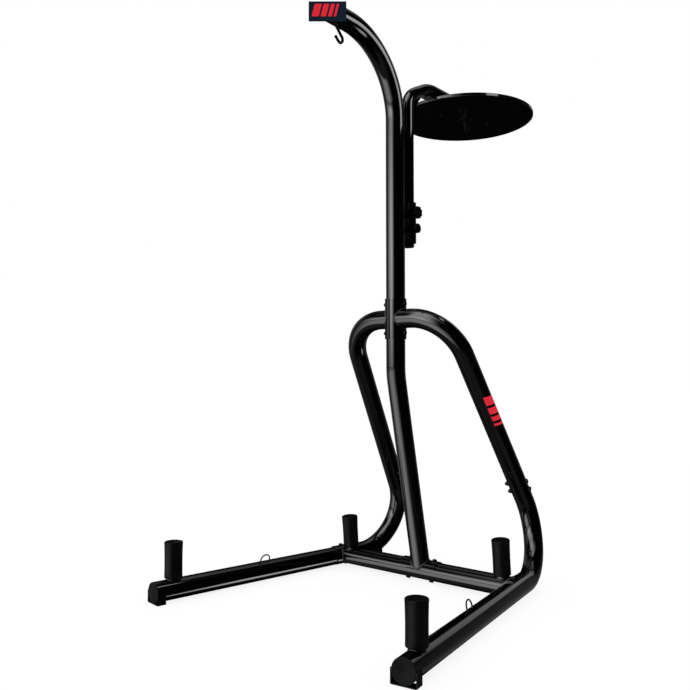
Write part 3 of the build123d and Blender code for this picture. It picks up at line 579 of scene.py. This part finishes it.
# Leg end cap, radius and height from the tube's end: plug, skirt under the rim, then the
# recess inside the rounded rim
CAP_PLUG = ((0.0, -0.0005), (0.0329, -0.0005), (0.0329, -0.0140), (0.0359, -0.0140), (0.0359, 0.0))
CAP_SKIRT = ((0.0380, 0.0), (0.0380, 0.0014))
CAP_ROUND = 0.0016
CAP_RECESS = (
    (0.0318, 0.0030), (0.0312, 0.0028), (0.0306, 0.0023), (0.0298, 0.0021),
    (0.0040, 0.0021), (0.0034, 0.0017), (0.0, 0.0017),
)


def arc_points(centre, radius, start, end, count):
    """Profile points round a corner, angles in degrees."""
    points = []
    for number in range(count + 1):
        angle = math.radians(start + (end - start) * number / count)
        points.append((centre[0] + radius * math.cos(angle), centre[1] + radius * math.sin(angle)))
    return points


def cover_profile():
    """A peg cover from its bore to its dished top, with a rim and a groove below it."""
    bore_top = PEG_REACH - COVER_TOP_WALL
    foot_edge = COVER_FOOT_R - COVER_FOOT_ROUND
    side_low = COVER_LOW + COVER_FOOT_ROUND
    groove = PEG_REACH - GROOVE_DROP
    points = [(0.0, bore_top), (PEG_R, bore_top), (PEG_R, COVER_LOW), (foot_edge, COVER_LOW)]
    points += arc_points((foot_edge, side_low), COVER_FOOT_ROUND, -90, 0, 6)[1:]
    waist = (COVER_FOOT_R + COVER_TOP_R) / 2 - COVER_WAIST_R
    for number in range(1, COVER_STEPS):
        height = side_low + (groove - side_low) * number / COVER_STEPS
        share = (height - COVER_LOW) / (PEG_REACH - COVER_LOW)
        bow = (1 - (2 * share - 1) ** 2) * waist
        points.append((COVER_FOOT_R + (COVER_TOP_R - COVER_FOOT_R) * share - bow, height))
    points += [(radius, groove + height) for radius, height in GROOVE]
    top_edge = (COVER_TOP_R - COVER_TOP_ROUND, PEG_REACH - COVER_TOP_ROUND)
    points += arc_points(top_edge, COVER_TOP_ROUND, 0, 90, 8)
    points += [(radius, PEG_REACH + height) for radius, height in DISH]
    return points


def make_covers(finishes):
    """The four peg covers, each standing for its plain one."""
    profile = cover_profile()
    for place, base, up in (("front", FRONT_PEG, UP), ("rear", REAR_PEG, REAR_PEG_UP)):
        for side, start in (("right", base), ("left", mirrored(base))):
            verts = []
            faces = []
            lathe(verts, faces, profile, start, up)
            node = side + "_" + place + "_peg_cover"
            name = node + "_moulding"
            add_piece(name, verts, faces, finishes["peg_rubber"], "frame", (node,))


def make_caps(finishes):
    """End caps with a rounded rim and a shallow recess inside it."""
    skirt_r, skirt_top = CAP_SKIRT[-1]
    profile = [*CAP_PLUG, *CAP_SKIRT]
    profile += arc_points((skirt_r - CAP_ROUND, skirt_top), CAP_ROUND, 0, 90, 6)[1:]
    profile += CAP_RECESS
    verts = []
    faces = []
    lathe(verts, faces, profile, LEG_FRONT, -LEG_DIR)
    lathe(verts, faces, profile, mirrored(LEG_FRONT), -mirrored(LEG_DIR))
    add_piece("end_cap_mouldings", verts, faces, finishes["cap_plastic"], "frame",
              ("leg_end_caps",))


# ---------------------------------------------------------------- spring on the pull pin

# Along X from the slide's axis; the coil lies against the stop
SPRING_LOW = 0.03645
SPRING_HIGH = 0.04655
SPRING_R = 0.0052
SPRING_WIRE_R = 0.0005
SPRING_TURNS = 3
SPRING_STEPS = 40
SPRING_SIDES = 12


def make_spring(finishes):
    """The coil round the pin, up against the barrel's wall."""
    verts = []
    faces = []
    centres = []
    normals = []
    count = SPRING_TURNS * SPRING_STEPS
    for number in range(count + 1):
        share = number / count
        angle = 2 * math.pi * SPRING_TURNS * share
        out = BACK * math.cos(angle) + UP * math.sin(angle)
        along = SPRING_LOW + (SPRING_HIGH - SPRING_LOW) * share
        centres.append(SLIDE_AXIS + RIGHT * along + out * SPRING_R)
        normals.append(out)
    radii = [SPRING_WIRE_R] * (count + 1)
    bead_rings(verts, faces, centres, normals, radii, closed=False, sides=SPRING_SIDES)
    coil = add_piece("pin_spring_coil", verts, faces, finishes["bare_steel"], "frame",
                     ("pin_spring",))
    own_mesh(coil)


# ---------------------------------------------------------------- printed bars

# How far the print stands out of the surface, and how deep its hidden side is sunk
PRINT_LIFT = 0.0002
PRINT_SINK = 0.0003

# Each bar's left edge and width along the badge, and its start and width down the tube
BADGE_TURN = math.radians(40.4)
BADGE_BARS = ((-0.0585, 0.0260), (-0.0255, 0.0200), (0.0015, 0.0140), (0.0225, 0.0085))
BADGE_BAR_LOW = -0.0195
BADGE_BAR_HIGH = 0.0275
BADGE_BAR_SLANT = 0.0120
BADGE_BAR_CORNER = 0.003
CORNER_STEPS = 4
CORNER_SHARE = 0.4
TUBE_BARS = ((0.350, 0.038), (0.399, 0.029), (0.439, 0.020), (0.470, 0.011))
TUBE_BAR_ANGLES = (-31.0, 40.0)
TUBE_BAR_SLANT = 0.014
TUBE_BAR_STEPS = 12


def slab(verts, faces, outline, place):
    """A thin closed slab: place turns (u, v, lift) into a point."""
    count = len(outline)
    base = len(verts)
    for lift in (-PRINT_SINK, PRINT_LIFT):
        for u, v in outline:
            verts.append(place(u, v, lift))
    faces.append(tuple(range(base + count - 1, base - 1, -1)))
    faces.append(tuple(range(base + count, base + 2 * count)))
    for number in range(count):
        after = (number + 1) % count
        faces.append((base + number, base + after, base + count + after, base + count + number))


def slanted_outline(left, width):
    """A badge bar's outline, leaning right, with rounded corners."""
    low, high = BADGE_BAR_LOW, BADGE_BAR_HIGH
    slant = BADGE_BAR_SLANT
    shape = [(left, low), (left + width, low), (left + width + slant, high), (left + slant, high)]
    corner = min(BADGE_BAR_CORNER, width * CORNER_SHARE)
    points = []
    for number, place in enumerate(shape):
        before = Vector(shape[number - 1])
        after = Vector(shape[(number + 1) % 4])
        here = Vector(place)
        start = here + (before - here).normalized() * corner
        end = here + (after - here).normalized() * corner
        for part in range(CORNER_STEPS + 1):
            share = part / CORNER_STEPS
            points.append(tuple(start.lerp(here, share).lerp(here.lerp(end, share), share)))
    return points


def make_badge_bars(finishes):
    """Speed bars in red across the badge."""
    normal = Vector((math.sin(BADGE_TURN), -math.cos(BADGE_TURN), 0.0))
    along = Vector((math.cos(BADGE_TURN), math.sin(BADGE_TURN), 0.0))
    centre = box_centre("arm_badge")
    front = max(vertex.co.dot(normal) for vertex in frame["nodes"]["arm_badge"].data.vertices)
    face = centre + normal * (front - centre.dot(normal))

    def place(u, v, lift):
        return face + along * u + UP * v + normal * lift

    verts = []
    faces = []
    for left, width in BADGE_BARS:
        slab(verts, faces, slanted_outline(left, width), place)
    add_piece("badge_bars", verts, faces, finishes["print_red"], "frame")


def make_tube_bars(finishes):
    """The same bars round the outer face of the right side tube."""
    down = -SIDE_DIR
    first = down.cross(UP).normalized()
    second = down.cross(first)
    low, high = (math.radians(angle) for angle in TUBE_BAR_ANGLES)
    steps = TUBE_BAR_STEPS
    verts = []
    faces = []
    for start, width in TUBE_BARS:
        base = len(verts)
        for lift in (-PRINT_SINK, PRINT_LIFT):
            for row in range(steps + 1):
                angle = low + (high - low) * row / steps
                out = first * math.cos(angle) + second * math.sin(angle)
                shift = TUBE_BAR_SLANT * (1 - row / steps)
                for edge in (0.0, width):
                    axis_point = SHOULDER + down * (start + shift + edge)
                    verts.append(axis_point + out * (TUBE_R + lift))
        layer = 2 * (steps + 1)
        for row in range(steps):
            a = base + 2 * row
            faces.append((a, a + 2, a + 3, a + 1))
            faces.append((a + layer, a + layer + 1, a + layer + 3, a + layer + 2))
            faces.append((a, a + layer, a + layer + 2, a + 2))
            faces.append((a + 1, a + 3, a + layer + 3, a + layer + 1))
        last = base + 2 * steps
        faces.append((base, base + 1, base + layer + 1, base + layer))
        faces.append((last, last + layer, last + layer + 1, last + 1))
    add_piece("side_tube_bars", verts, faces, finishes["print_red"], "frame")


bpy.context.scene.view_settings.view_transform = "Standard"
make_camera()
make_floor()
make_world()
make_arm_panel()
finishes = make_finishes()
paint_frame(finishes)
make_welds(finishes)
make_covers(finishes)
make_caps(finishes)
make_spring(finishes)
make_badge_bars(finishes)
make_tube_bars(finishes)
